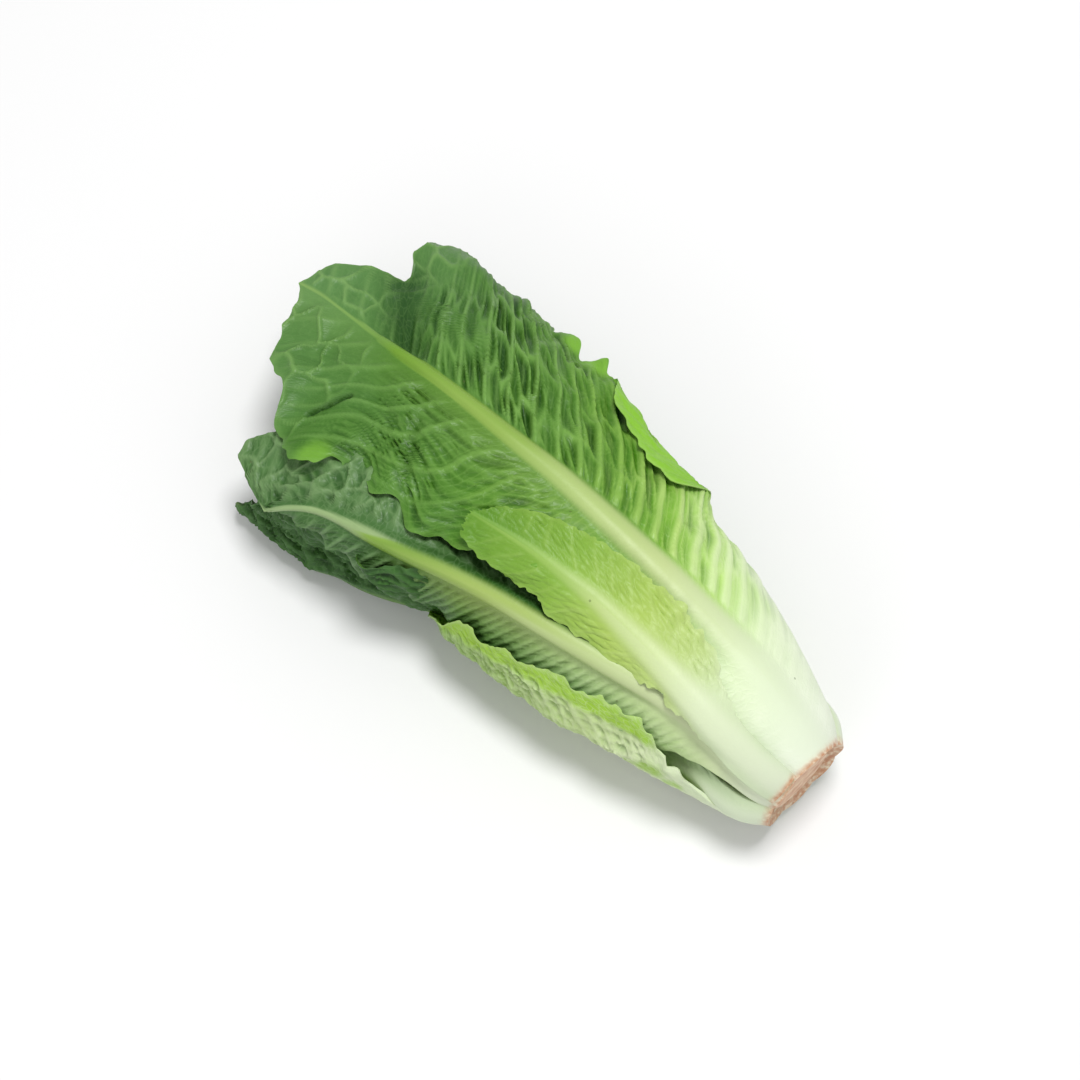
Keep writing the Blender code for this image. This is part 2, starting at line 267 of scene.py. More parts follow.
def half_grid(leaf, side, rows, columns):
    """One half of a leaf: rows from base to tip, columns from midrib to margin."""
    name = "left" if side < 0 else "right"
    u = np.linspace(0, 1, rows)[:, None] * np.ones((1, columns))
    v = np.ones((rows, 1)) * np.linspace(0, 1, columns)[None, :]
    length = leaf["cut"][1] - leaf["cut"][0]
    seed, (teeth, wave) = leaf["seed"], leaf["teeth"]
    ends = through(leaf["tip_" + name], v)
    ends = ends + TIP_JAG / length * u ** 12 * noise(v * TIP_WAVES / wave, v * 0 + side, seed + 5)
    t = ends * (u + VEIN_SWEEP * 4 * u * (1 - u) * v)
    fine = noise(t * length / wave * FINE_TEETH, t * 0 + 3, seed)
    jag = noise(t * length / wave, t * 0, seed + side) + FINE_SHARE * fine
    jag = jag * read(teeth, t) * after(t, BARE_BASE, BARE_RUN)
    across = v * (through(leaf["width_" + name], t) + jag * v ** 8)
    return {"u": u, "v": v, "t": t, "across": across, "cut": leaf["cut"][0] + length * t, "side": side,
            "length": length, "name": name}


def slope(leaf, g):
    """How steeply the blade leaves its shell, in radians, from its curls and its folds."""
    pitch = np.zeros(g["u"].shape)
    for low, high, first, last, degrees in leaf["curl_" + g["name"]]:
        along = after(g["u"], low, CURL_RUN) * eased((high - g["u"]) / CURL_RUN)
        pitch += math.radians(degrees) * along * after(g["v"], first, last - first)
    for low, high, soft, line, run, degrees in leaf["fold_" + g["name"]]:
        along = between(g["t"], low, high, soft)
        pitch += math.radians(degrees) * along * after(g["across"], through(line, g["t"]), run)
    return pitch


def pressed_under(plan, g, angle, radius):
    """The smaller of a point's own radius and a ceiling. The ceiling comes down between two angles."""
    first, last, depth, from_t = plan
    held = after(np.degrees(angle), first, last - first) * after(g["t"], from_t, CEILING_RUN)
    ceiling = head_radius(g["cut"], angle) - depth + CEILING_OFF * (1 - held)
    return -CEILING_SOFT * np.logaddexp(-radius / CEILING_SOFT, -ceiling / CEILING_SOFT)


def wrap(leaf, g):
    """Places in mm of every point of the half, wrapped round the head."""
    pitch = slope(leaf, g)
    steps = np.diff(g["across"], axis=1, prepend=0)
    swing = np.radians(through(leaf["angle"], g["t"]))
    lift = through(leaf["lift"], g["t"])
    turned, raised = np.zeros(g["t"].shape), np.zeros(g["t"].shape)
    for k in range(1, g["t"].shape[1]):
        here = swing[:, k] + g["side"] * turned[:, k - 1]
        radius = shell_radius(leaf, g["cut"][:, k], here) + raised[:, k - 1] + lift[:, k]
        turn = np.cos(pitch[:, k]) * steps[:, k] / np.maximum(radius, LEAST_TURN)
        turned[:, k] = turned[:, k - 1] + turn
        raised[:, k] = raised[:, k - 1] + np.sin(pitch[:, k]) * steps[:, k]
    angle = swing + g["side"] * turned
    radius = shell_radius(leaf, g["cut"], angle) + lift + raised
    if leaf["under_" + g["name"]]:
        radius = pressed_under(leaf["under_" + g["name"]], g, angle, radius)
    return np.stack([CUT_X - g["cut"], HEAD_Y + radius * np.sin(angle),
                     head_height(g["cut"]) + radius * np.cos(angle)], axis=2)

# %% [markdown]
# ## Veins and pockets
# From the outside a romaine leaf shows its back. Veins leave the midrib at a slant and bend towards the tip,
# and they stand up from the blade. Cross veins join them, and the blade sinks in a pocket between them. A
# texture could only fake this, so the ridges and the pockets are moved in the mesh, and the same numbers are
# kept on the points for the colours. The pockets and the troughs between the veins also get painted shade:
# their colour is darkened the more deeply they sink.

# %% Vein relief
FIRST_VEIN, PAST_TIP = -160.0, 30  # mm, the outermost veins leave the midrib beyond the blade's ends
WANDER_ALONG, WANDER_ACROSS = 24, 16  # mm, the size of a vein's slow bends
GROOVE, GROOVE_WIDTH = 0.3, 0.35  # a vein has a shallow groove along its crest
SECOND_WIDTH = 0.6  # the veins half way between two main ones are finer
LINE_WIDTH, BOWL_RUN = 0.17, 0.6  # in cells: a cross vein, and the side of a pocket
BOWL_EVEN, BOWL_ODD = 0.35, 0.95  # the least depth of a pocket, and how much it differs
CALM_MARGIN = 0.85  # beyond this share of the width the relief fades
# A pocket's colour is darkened as painted shade, fully at the depth DIP_SHOWN.
DIP_SHOWN = 1.6  # mm, the depth at which a pocket is darkest
THREAD_ALONG, THREAD_ACROSS = 2.6, 4.0  # mm to a unit of the finest veins, which the finish draws
CRINKLES = ((3.0, 13, 6, 1.0), (2.2, 7, 7, 0.4))  # mm along and across, seed and share of the height


def main_veins(veins, length, seed):
    """Where the main side veins leave the midrib, in mm along it."""
    spots = [FIRST_VEIN]
    while spots[-1] < length + PAST_TIP:
        gap = read(veins["spacing"], max(spots[-1], 0) / length)
        spots.append(spots[-1] + float(gap) * (0.8 + 0.4 * float(hashed(len(spots), 0, seed))))
    return np.array(spots)


def crinkle(plan, g, start, flat, rib_half, seed):
    """Fine sharp folds near the midrib, and where they are."""
    deep, first_t, last_t, reach = plan
    folds = 0
    for wide, long, extra, share in CRINKLES:
        folds = folds + share * (1 - 2 * np.abs(noise(start * flat / wide, g["across"] / long, seed + extra)))
    near = after(g["across"], 0.7 * rib_half, 4) * (1 - after(g["across"], reach, 12))
    near = near * between(g["t"], first_t, last_t, 0.1)
    return deep * folds * near, 0.35 * near * np.clip(folds - 0.7, 0, 1)


def branching(plan, g, clear, seed):
    """The wide net of forked veins near a tip, and where it shows."""
    size, high, from_t = plan
    along, across = g["t"] * g["length"], g["across"]
    bent = 0.35 * noise(along / 9, across / 9, seed + 9)
    first, second, _ = cells(along / size + bent, across / size - bent, seed + 8)
    begun = after(g["t"], from_t, 0.05)
    branch = peak((second - first) * size, 1.5) * begun * clear
    return high * (branch - 0.6 * eased((second - first) / 0.8) * begun), 0.75 * branch


def vein_relief(leaf, g):
    """Vein height and pocket depth, and how pale a point is drawn and how much painted shade it gets (0 to
    1).
    """
    veins, t, v, across = leaf["veins_" + g["name"]], g["t"], g["v"], g["across"]
    seed, along = leaf["seed"] + 100 * (g["side"] + 1), t * g["length"]
    lean, bow = read(veins["lean"], t), read(veins["bow"], t)
    start = along - lean * across - bow * across ** 2
    start = start + veins["wander"] * noise(along / WANDER_ALONG, across / WANDER_ACROSS, seed + 1)
    spots = main_veins(veins, g["length"], seed)
    k = np.clip(np.searchsorted(spots, start), 1, len(spots) - 1)
    before, gap = spots[k - 1], spots[k] - spots[k - 1]
    flat = 1 / np.sqrt(1 + (lean + 2 * bow * across) ** 2)
    off = np.minimum(start - before, spots[k] - start) * flat
    half = read(veins["half"], t) * (1.25 - 0.65 * v)
    crest = peak(off, half) * (1 - GROOVE * peak(off, GROOVE_WIDTH * half))
    middle = np.abs((start - before) / gap - 0.5) * gap * flat
    crest = np.maximum(crest, read(veins["second"], t) * peak(middle, SECOND_WIDTH * half))
    wide, deep = veins["cell"]
    first, second, owner = cells(start * flat / wide, across / (flat * deep), seed + 2)
    line = peak(second - first, LINE_WIDTH)
    bowl = eased((second - first) / BOWL_RUN) * (BOWL_EVEN + BOWL_ODD * owner)
    bowl = bowl * (1 - 0.8 * peak(off, 1.7 * half))
    rib_half = through(leaf["rib_half"], t)
    clear = after(across, 0.75 * rib_half, veins["clear"])
    clear = clear * (1 - 0.6 * after(v, CALM_MARGIN, 0.15))
    tall, dip = read(veins["tall"], t) * (1.15 - 0.55 * v) * clear, read(veins["dip"], t) * clear
    dip = dip * (0.9 + 0.5 * noise(along / 16, across / 11, seed + 11))
    rise = tall * crest + dip * (0.35 * line - bowl)
    shown = np.maximum(crest * np.minimum(tall, 1), 0.4 * line * dip) * veins["show"]
    # Painted shade: the blade between crests is darkened by the trough value, and a pocket by its depth.
    trough = veins["trough"] * clear * (1 - crest) * after(t, BARE_BASE, BARE_RUN)
    pocket_shade = np.maximum(bowl * dip / DIP_SHOWN, trough)
    if veins["crinkle"]:
        raised, seen = crinkle(veins["crinkle"], g, start, flat, rib_half, seed)
        rise, shown = rise + raised, np.maximum(shown, seen)
    if veins["net"]:
        raised, seen = branching(veins["net"], g, clear, seed)
        rise, shown = rise + raised, np.maximum(shown, seen)
    made = {"vein": np.clip(shown, 0, 1), "painted_shade": np.clip(pocket_shade, 0, 1),
            "place": (start / THREAD_ALONG, across / (THREAD_ACROSS * flat))}
    return rise, made

# %% [markdown]
# ## Ruffles, valleys and the midrib
# The margin of a leaf grows longer than its middle, so it ruffles. The waves grow towards the margin. A few
# creases and valleys that this head has are pressed in along lines, and most are darkened as painted shade.
# The midrib stands up on the outside only, so the sheet is raised by half of its height, and is made thicker
# by all of it. Young tissue is fresher in colour and smoother, so the relief is halved there. The same bright
# green is also painted on as light where a blade lies in shade, and the relief is halved there too.

# %% Surface relief
SWAY_ALONG, SWAY_ACROSS = 45, 40  # mm, a slow wave over the whole blade
PUFF_ALONG, PUFF_ACROSS = 13, 11  # mm, a soft bulge
RUFFLE_START, RUFFLE_RUN, RUFFLE_POWER = 0.2, 0.25, 2.6
RIB_CALM, FRESH_CALM, MARGIN_THINS = 0.9, 0.5, 0.4


def to_line(g, first, last):
    """Distance in the blade from a line between two (t, across) places."""
    x, y = g["t"] * g["length"], g["across"]
    ax, ay, bx, by = first[0] * g["length"], first[1], last[0] * g["length"], last[1]
    way = ((x - ax) * (bx - ax) + (y - ay) * (by - ay)) / ((bx - ax) ** 2 + (by - ay) ** 2)
    held = np.clip(way, 0, 1)
    return np.hypot(x - ax - held * (bx - ax), y - ay - held * (by - ay))


def ruffles(leaf, g):
    """Height of the blade's slow waves, its bulges and the ruffles of its margin."""
    along, seed = g["t"] * g["length"], leaf["seed"]
    tall, wave = leaf["ruffle"]
    sway = noise(along / SWAY_ALONG, g["across"] / SWAY_ACROSS + 5 * g["side"], seed + 3)
    puff = noise(along / PUFF_ALONG, g["across"] / PUFF_ACROSS + 5 * g["side"], seed + 4)
    shift = 0.8 * noise(along / 50, g["v"] * 0 + g["side"], seed + 6)
    uneven = 0.5 * noise(along / wave * 2.2, g["v"] * 3, seed + 8)
    waves = np.sin(2 * math.pi * (along / wave + shift)) + uneven
    grown = after(g["t"], RUFFLE_START, RUFFLE_RUN)
    near = (leaf["sway"] * sway + leaf["puff"] * puff) * eased(g["across"] / 14) * grown
    return near + tall * g["v"] ** RUFFLE_POWER * waves * grown


def relief(leaf, g):
    """Everything that stands off the plain sheet, its thickness, and the values for the colours."""
    rise, made = vein_relief(leaf, g)
    rise = rise + ruffles(leaf, g)
    # A valley is pressed in, and its darkness paints shade along it and takes out the veins' paleness there.
    for side, first, last, deep, half, dark in leaf["valleys"]:
        if side == g["side"]:
            pressed = peak(to_line(g, first, last), half)
            rise = rise - deep * pressed
            made["painted_shade"] = np.maximum(made["painted_shade"], dark * pressed)
            made["vein"] = made["vein"] * (1 - 0.85 * dark * pressed)
    # Spots and bands painted a bright green: partly the leaf's own young colour, partly painted light where a
    # blade lies in shade.
    made["fresh"] = np.zeros(rise.shape)
    for side, t, across, half, strength in leaf["fresh"]:
        if side == g["side"]:
            off = np.hypot((g["t"] - t) * g["length"], g["across"] - across)
            made["fresh"] = np.maximum(made["fresh"], strength * eased(1.6 - off / half))
    for side, low, high, line, run in leaf["bright"]:
        if side == g["side"]:
            band = between(g["t"], low, high, 0.05) * after(g["across"], through(line, g["t"]), run)
            made["fresh"] = np.maximum(made["fresh"], band)
    rise = rise * (1 - FRESH_CALM * made["fresh"])
    made["painted_shade"] = made["painted_shade"] * (1 - made["fresh"])
    beside = np.clip(g["across"] / through(leaf["rib_half"], g["t"]), 0, 1)
    rib = (1 - beside ** 2) ** 2
    coloured = np.clip(beside * leaf["rib_share_" + g["name"]], 0, 1)
    rib_tall = through(leaf["rib_tall"], g["t"])
    blade = through(leaf["thick"], g["t"]) * (1 - MARGIN_THINS * g["v"] ** 6)
    made["rise"] = rise * (1 - RIB_CALM * rib) + rib * rib_tall / 2
    made["thick"] = blade + rib * rib_tall
    halo, wide = leaf["halo_" + g["name"]]
    made["rib"] = np.maximum(eased((1 - coloured) / through(leaf["rib_soft"], g["t"])),
                             read(halo, g["t"]) * peak(g["across"], wide))
    made["beside"] = beside
    made["vein"] = made["vein"] * (1 - made["rib"]) * (1 - 0.8 * made["fresh"])
    return made

# %% [markdown]
# ## From numbers to a mesh
# A grid primitive already has the right faces, so only its points are moved. What would sink into the floor
# is kept just above it. Solidify then gives the sheet its thickness and closes it at the margin, with a
# second material on the inner face. The thickness comes from a vertex group, filled in steps of a hundredth.

# %% Make a leaf
KEPT = ("rib", "vein", "painted_shade", "tone", "edge", "cut_end", "fresh")
CUT_STAIN = 1.6  # mm, how far the stain of the cut reaches up a petiole
GROUND_GAP, GROUND_SOFT = 0.05, 0.5  # mm
SMOOTH_UP_TO = math.radians(70)


def point_values(leaf, g, made):
    """Adds the values that the finishes read, on every point of half a leaf."""
    length = g["length"]
    drift = 0.05 * noise(g["t"] * length / 30, g["across"] / 14 + 3 * g["side"], leaf["seed"] + 21)
    tone = g["t"] + drift * eased(g["t"] / 0.2) + through(leaf["pale_" + g["name"]], g["t"]) * g["v"]
    widest = through(leaf["width_" + g["name"]], g["t"])
    margin = np.minimum(widest * (1 - g["v"]), length * (1 - g["u"]))
    made["tone"] = np.clip(tone + leaf["tint_" + g["name"]] * made.pop("beside"), 0, 1)
    made["edge"] = peak(margin, leaf["rim"]) * after(g["t"], 0.1, 0.1)
    made["cut_end"] = peak(g["t"] * length, CUT_STAIN)
    x, y = made.pop("place")
    made["place"] = np.stack([x, g["side"] * y, 0 * x], axis=2)


def whole_leaf(leaf, rows, left, right):
    """Points and values over the whole leaf, from its left margin to its right margin."""
    halves = []
    for side, columns in ((-1, left), (1, right)):
        g = half_grid(leaf, side, rows, columns)
        made = relief(leaf, g)
        made["sheet"] = wrap(leaf, g)
        point_values(leaf, g, made)
        halves.append(made)
    first, second = halves
    return {key: np.concatenate([first[key][:, :0:-1], second[key]], axis=1) for key in first}


def outward(sheet):
    """Unit normals of the sheet, away from the midline of the head."""
    along, across = np.gradient(sheet, axis=0), np.gradient(sheet, axis=1)
    normal = np.cross(across, along)
    return normal / np.maximum(np.linalg.norm(normal, axis=2, keepdims=True), 1e-9)


def add_leaf(name, leaf, rows, left, right, finishes):
    """A leaf as one closed mesh that replaces the CAD node of the same name."""
    made = whole_leaf(leaf, rows, left, right)
    points = made["sheet"] + outward(made["sheet"]) * made["rise"][:, :, None]
    lowest = made["thick"] / 2 + GROUND_GAP
    points[:, :, 2] = lowest + GROUND_SOFT * np.logaddexp(0, (points[:, :, 2] - lowest) / GROUND_SOFT)
    bpy.ops.object.select_all(action="DESELECT")
    bpy.ops.mesh.primitive_grid_add(x_subdivisions=points.shape[1] - 1, y_subdivisions=rows - 1, size=1)
    obj = bpy.context.object
    obj.name = obj.data.name = name + "_visual"
    mesh = obj.data
    mesh.vertices.foreach_set("co", (points * MM).ravel())
    for key in KEPT:
        values = mesh.attributes.new(key, "FLOAT", "POINT")
        values.data.foreach_set("value", made[key].ravel().astype(np.float32))
    place = mesh.attributes.new("place", "FLOAT_VECTOR", "POINT")
    place.data.foreach_set("vector", made["place"].ravel().astype(np.float32))
    thickest = float(made["thick"].max())
    group = obj.vertex_groups.new(name="thickness")
    weights = np.round(made["thick"].ravel() / thickest, 2)
    for weight in np.unique(weights):
        group.add(np.flatnonzero(weights == weight).tolist(), float(weight), "REPLACE")
    for finish in finishes:
        mesh.materials.append(finish)
    skin = obj.modifiers.new("Skin", "SOLIDIFY")
    skin.thickness, skin.offset, skin.vertex_group = thickest * MM, 0, "thickness"
    skin.material_offset = 1
    bpy.ops.object.modifier_apply(modifier="Skin")
    obj.vertex_groups.clear()
    bpy.ops.object.shade_smooth_by_angle(angle=SMOOTH_UP_TO)
    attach(obj, "root")
    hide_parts(name)
    print(name, len(mesh.polygons) * 2, "triangles")

# %% [markdown]
# ## Finishes
# A leaf is white at its base and greens towards its tip, so each finish reads how far along the leaf a point
# is. The midrib and the veins have colours of their own, and the pockets, troughs and valleys between them
# get painted shade, a darker copy of the blade's colour. Some spots take a bright green, partly young tissue
# and partly painted light. Fine veins and a waxy grain, too small for the mesh, are made with a Voronoi and a
# noise texture. A leaf lets some light through, so a Translucent shader is mixed in.

# %% Short calls for nodes
def linear(colour):
    """A display colour of 0 to 255 as the linear light that a shader takes."""
    shares = [c / 255 for c in colour]
    return [s / 12.92 if s <= 0.04045 else ((s + 0.055) / 1.055) ** 2.4 for s in shares]


class Nodes:
    """Short calls to add and join the nodes of one material."""

    def __init__(self, name):
        self.material = bpy.data.materials.new(name)
        self.material.use_nodes = True
        self.tree = self.material.node_tree
        self.shader = self.tree.nodes["Principled BSDF"]
        self.output = self.tree.nodes["Material Output"]

    def add(self, kind, **values):
        node = self.tree.nodes.new("ShaderNode" + kind)
        for key, value in values.items():
            setattr(node, key, value)
        return node

    def join(self, source, target):
        self.tree.links.new(source, target)

    def fill(self, sockets, given):
        """Gives each socket a number or a colour, or joins it to what another node puts out."""
        for socket, value in zip(sockets, given):
            if isinstance(value, (int, float)):
                socket.default_value = value
            elif isinstance(value, (tuple, list)):
                socket.default_value = (*value, 1)
            else:
                self.join(value, socket)

    def kept(self, name, output="Fac"):
        """A value that was kept on the points of the mesh."""
        return self.add("Attribute", attribute_name=name).outputs[output]

    def maths(self, operation, first, second, clamp=False):
        node = self.add("Math", operation=operation, use_clamp=clamp)
        self.fill(node.inputs, (first, second))
        return node.outputs[0]

    def times(self, first, second):
        return self.maths("MULTIPLY", first, second)

    def ramp(self, source, stops):
        node = self.add("ValToRGB")
        while len(node.color_ramp.elements) < len(stops):
            node.color_ramp.elements.new(0.5)
        for element, (position, *colour) in zip(node.color_ramp.elements, stops):
            element.position = position
            element.color = (*linear(colour), 1)
        self.join(source, node.inputs["Fac"])
        return node.outputs["Color"]

    def mix(self, factor, first, second, blend="MIX"):
        node = self.add("Mix", data_type="RGBA", blend_type=blend)
        self.fill((node.inputs[0], node.inputs[6], node.inputs[7]), (factor, first, second))
        return node.outputs[2]

    def place(self):
        return self.add("TexCoord").outputs["Object"]

    def noise(self, scale, detail=2.0):
        node = self.add("TexNoise")
        self.fill((node.inputs["Scale"], node.inputs["Detail"]), (scale, detail))
        self.join(self.place(), node.inputs["Vector"])
        return node.outputs["Fac"]

    def spread(self, source, low, high, top=1.0, curve="LINEAR"):
        """A value of 0 to top, spread over low to high."""
        node = self.add("MapRange", interpolation_type=curve)
        self.fill([node.inputs[key] for key in ("Value", "From Max", "To Min", "To Max")],
                  (source, top, low, high))
        return node.outputs["Result"]

    def bump(self, height, strength, distance):
        node = self.add("Bump")
        self.fill([node.inputs[key] for key in ("Strength", "Distance", "Height")],
                  (strength, distance, height))
        self.join(node.outputs["Normal"], self.shader.inputs["Normal"])

# %% Leaf finish
SHADE = (0.62, 0.74, 0.52)  # what the colour is multiplied by in the darker patches
# The bright green of young tissue, which is also painted on as light where a blade lies in shade.
YOUNG_AND_LIT = (134, 190, 60)
THREAD_WIDTH = 0.13
STREAKS = (("Scale", 0.24), ("Distortion", 2.2), ("Detail", 2.0), ("Detail Scale", 1.4))
SHINE, ROUGHNESS, ROUGH_RANGE = 0.28, 0.40, 0.12
GRAIN_STRENGTH, GRAIN_DEPTH = 0.3, 0.0003
SPECK_SCALE, SPECK_SIZE, SPECK_BROWN = 62, 0.035, (96, 110, 60)
CUT_BROWNS = ((0.35, 236, 218, 192), (0.5, 216, 174, 140), (0.65, 202, 146, 112))


def stained(n, colour):
    """A few small brown specks, and the dried pinkish brown of the cut end."""
    speck = n.add("TexVoronoi", feature="F1")
    speck.inputs["Scale"].default_value = SPECK_SCALE
    n.join(n.place(), speck.inputs["Vector"])
    dots = n.maths("LESS_THAN", speck.outputs["Distance"], SPECK_SIZE)
    colour = n.mix(n.times(dots, 0.5), colour, linear(SPECK_BROWN))
    rough_cut = n.maths("ADD", n.times(n.noise(260, 3), 1.3), 0.45)
    stain = n.maths("MULTIPLY", n.kept("cut_end"), rough_cut, True)
    return n.mix(stain, colour, n.ramp(n.noise(420, 3), CUT_BROWNS))


def leaf_finish(name, blade, vein, rib, depth=0.5, glow=0.2, net=0.3, lines=0.0, fresh=YOUNG_AND_LIT, rim=0.3):
    """One face of a leaf. blade, vein and rib are colours along the leaf, from its base to its tip."""
    n = Nodes(name)
    tone = n.kept("tone")
    blades, veins, ribs = n.ramp(tone, blade), n.ramp(tone, vein), n.ramp(tone, rib)
    mottle = n.times(n.noise(60, 4), 0.55)
    blades = n.mix(mottle, blades, n.mix(1.0, blades, SHADE, "MULTIPLY"))
    blades = n.mix(n.kept("fresh"), blades, linear(fresh))
    # Painted shade: pockets, troughs and valleys take a copy of the blade's colour darkened by depth.
    pockets = n.mix(1.0, blades, (1 - depth, 1 - 0.82 * depth, 1 - depth), "MULTIPLY")
    colour = n.mix(n.kept("painted_shade"), blades, pockets)
    place = n.kept("place", "Vector")
    fine = n.add("TexVoronoi", feature="DISTANCE_TO_EDGE")
    fine.inputs["Scale"].default_value = 1.0
    n.join(place, fine.inputs["Vector"])
    thread = n.spread(fine.outputs["Distance"], 1.0, 0.0, THREAD_WIDTH, "SMOOTHSTEP")
    patchy = n.times(n.noise(90), 1.4)
    green = n.maths("MULTIPLY", n.maths("SUBTRACT", tone, 0.1), 5.0, True)
    colour = n.mix(n.times(n.times(thread, patchy), n.times(green, net)), colour, veins)
    streak = n.add("TexWave", wave_type="BANDS", bands_direction="X", wave_profile="SIN")
    for key, given in STREAKS:
        streak.inputs[key].default_value = given
    n.join(place, streak.inputs["Vector"])
    crest = n.maths("POWER", streak.outputs["Fac"], 7.0)
    low_down = n.maths("MULTIPLY", n.maths("SUBTRACT", 0.85, tone), 5.0, True)
    colour = n.mix(n.times(n.times(crest, lines), low_down), colour, veins)
    colour = n.mix(n.kept("vein"), colour, veins)
    colour = n.mix(n.times(n.kept("edge"), rim), colour, veins)
    colour = stained(n, n.mix(n.kept("rib"), colour, ribs))
    n.join(colour, n.shader.inputs["Base Color"])
    n.shader.inputs["Specular IOR Level"].default_value = SHINE
    rough = n.spread(n.noise(140), ROUGHNESS - ROUGH_RANGE, ROUGHNESS + ROUGH_RANGE)
    n.join(rough, n.shader.inputs["Roughness"])
    grain = n.maths("ADD", n.times(n.noise(500), 0.5), n.times(thread, 0.7))
    grain = n.maths("ADD", grain, n.times(n.noise(230), 1.8))
    grain = n.maths("ADD", grain, n.times(crest, 1.6 * lines))
    grain = n.times(grain, n.maths("SUBTRACT", 1.0, n.times(n.kept("rib"), 0.75)))
    n.bump(grain, GRAIN_STRENGTH, GRAIN_DEPTH)
    through_light = n.add("BsdfTranslucent")
    n.join(colour, through_light.inputs["Color"])
    mixed = n.add("MixShader")
    n.fill(mixed.inputs, (glow, n.shader.outputs["BSDF"], through_light.outputs["BSDF"]))
    n.join(mixed.outputs["Shader"], n.output.inputs["Surface"])
    return n.material

# %% [markdown]
# ## Plans
# Each leaf has a plan, which the functions above read by its keys. Along a leaf, t goes from 0 at the base to
# 1 at the tip, and across it v goes from 0 at the midrib to 1 at the margin. A side is -1, left, or 1, right.
# Lengths are in mm, and most values may be a curve of (t, value) points. The keys with parts are:
# - curl: first and last place along, first and last v, degrees
# - fold: first and last t, softness, a curve of its line in mm from the midrib, run, degrees
# - valleys: side, two (t, mm) places, depth, half width, and how dark the painted shade along them is
# - bright green spots: side, t, mm, half width, strength; bright: side, first and last t, a curve of its
#   line,
# run. Both paint a bright green that is partly young tissue and partly painted light.
# - under: two angles, depth, first t; teeth and ruffle: height, wave length; halo: strength, width
# - cell: mm along and across; crinkle: height, first and last t, reach; net: size, height, first t

# %% Plans of the leaves
def vein_plan(**extra):
    """How the side veins of half a leaf run."""
    plan = {"lean": 0.5, "bow": 0.006, "spacing": 11.0, "wander": 2.0, "half": 1.1, "cell": (4.4, 8.0),
            "clear": 4.0, "tall": ((0, 0), (0.15, 0.3), (0.35, 0.9), (0.8, 0.7), (1, 0.3)),
            "dip": ((0, 0), (0.15, 0.1), (0.35, 0.9), (0.8, 0.8), (1, 0.3)), "show": 0.9,
            "second": 0.0, "trough": 0.0, "crinkle": None, "net": None}
    plan.update(extra)
    return plan


def leaf_plan(shell, cut, angle, width_left, width_right, **extra):
    """What a leaf needs to be laid out, with the values of a plain leaf for all that isn't given."""
    plan = {"inner": None, "shell": shell, "cut": cut, "angle": angle, "base": 5.2, "lift": ((0, 0), (1, 0)),
            "width_left": width_left, "width_right": width_right, "teeth": (1.0, 6.0), "ruffle": (2.0, 24.0),
            "valleys": (), "fresh": (), "bright": (), "seed": 1, "sway": 1.2, "puff": 0.6, "rim": 1.6,
            "rib_half": ((0, 9), (0.3, 8), (0.6, 5), (0.85, 2.4), (1, 0.8)),
            "rib_tall": ((0, 1.2), (0.2, 2.6), (0.5, 2.4), (0.8, 1.2), (1, 0.3)),
            "rib_soft": ((0, 0.7), (0.5, 0.55), (1, 0.4)),
            "thick": ((0, 6.2), (0.04, 5.0), (0.1, 3.2), (0.18, 1.6), (0.35, 0.7), (1, 0.45))}
    for half in ("left", "right"):
        for key, given in (("tip", ((0, 1), (1, 0.9))), ("curl", ()), ("fold", ()), ("under", None),
                           ("veins", vein_plan()), ("pale", ((0, 0), (1, 0))), ("tint", 0.0),
                           ("halo", (0.0, 10.0)), ("rib_share", 1.0)):
            plan[f"{key}_{half}"] = given
    plan.update(extra)
    return plan

# %% [markdown]
# ## The top leaf
# The largest leaf lies on top with its back outwards. Its right blade is puckered between strong veins, and
# part of its margin is folded over. Its left blade is smoother and waxy, with fine curving veins.

# %% Top leaf
top_right = vein_plan(
    lean=((0, 0.6), (0.4, 0.72), (0.6, 0.9), (0.75, 0.95), (1, 0.8)), bow=0.0005,
    spacing=((0, 9.5), (0.3, 9.5), (0.42, 11), (0.55, 14), (1, 16)),
    half=((0, 1.9), (0.3, 1.6), (0.45, 1.05), (0.6, 0.78), (1, 0.7)), cell=(4.4, 25), clear=3,
    second=((0, 0), (0.3, 0.08), (0.48, 0.35), (1, 0.35)),
    tall=((0, 0.1), (0.15, 0.4), (0.3, 1.3), (0.5, 2), (0.75, 1.9), (0.85, 0.8), (1, 0.4)),
    dip=((0, 0), (0.14, 0.15), (0.25, 0.7), (0.4, 1.3), (0.7, 1.8), (0.82, 1), (0.9, 0.3), (1, 0.2)),
    crinkle=(0.3, 0.3, 0.7, 80), net=(12, 0.7, 0.84))
top_left = vein_plan(
    lean=((0, 0.2), (0.6, 0.3), (0.72, 0.45), (0.83, 0.9), (1, 1.1)),
    bow=((0, 0.006), (0.58, 0.006), (0.68, 0.012), (0.75, 0.016), (0.85, 0.008), (1, 0.004)),
    spacing=((0, 14), (0.5, 15), (0.7, 17), (1, 26)), half=1, cell=(6, 13), clear=9, wander=3.5,
    tall=((0, 0), (0.3, 0.3), (0.5, 0.7), (0.7, 1.2), (0.85, 1), (1, 0.4)),
    dip=((0, 0), (0.3, 0.4), (0.5, 1.1), (0.7, 1.3), (0.82, 0.4), (1, 0.2)), show=0.7,
    crinkle=(0.6, 0.3, 0.78, 32), net=(15, 1.1, 0.8))
FLAP_LINE = ((0.345, 58), (0.36, 51), (0.38, 47), (0.42, 46), (0.48, 50), (0.55, 57), (0.59, 66))
FLAP_BRIGHT = tuple((t, mm + 1) for t, mm in FLAP_LINE[:-1]) + ((0.59, 64),)
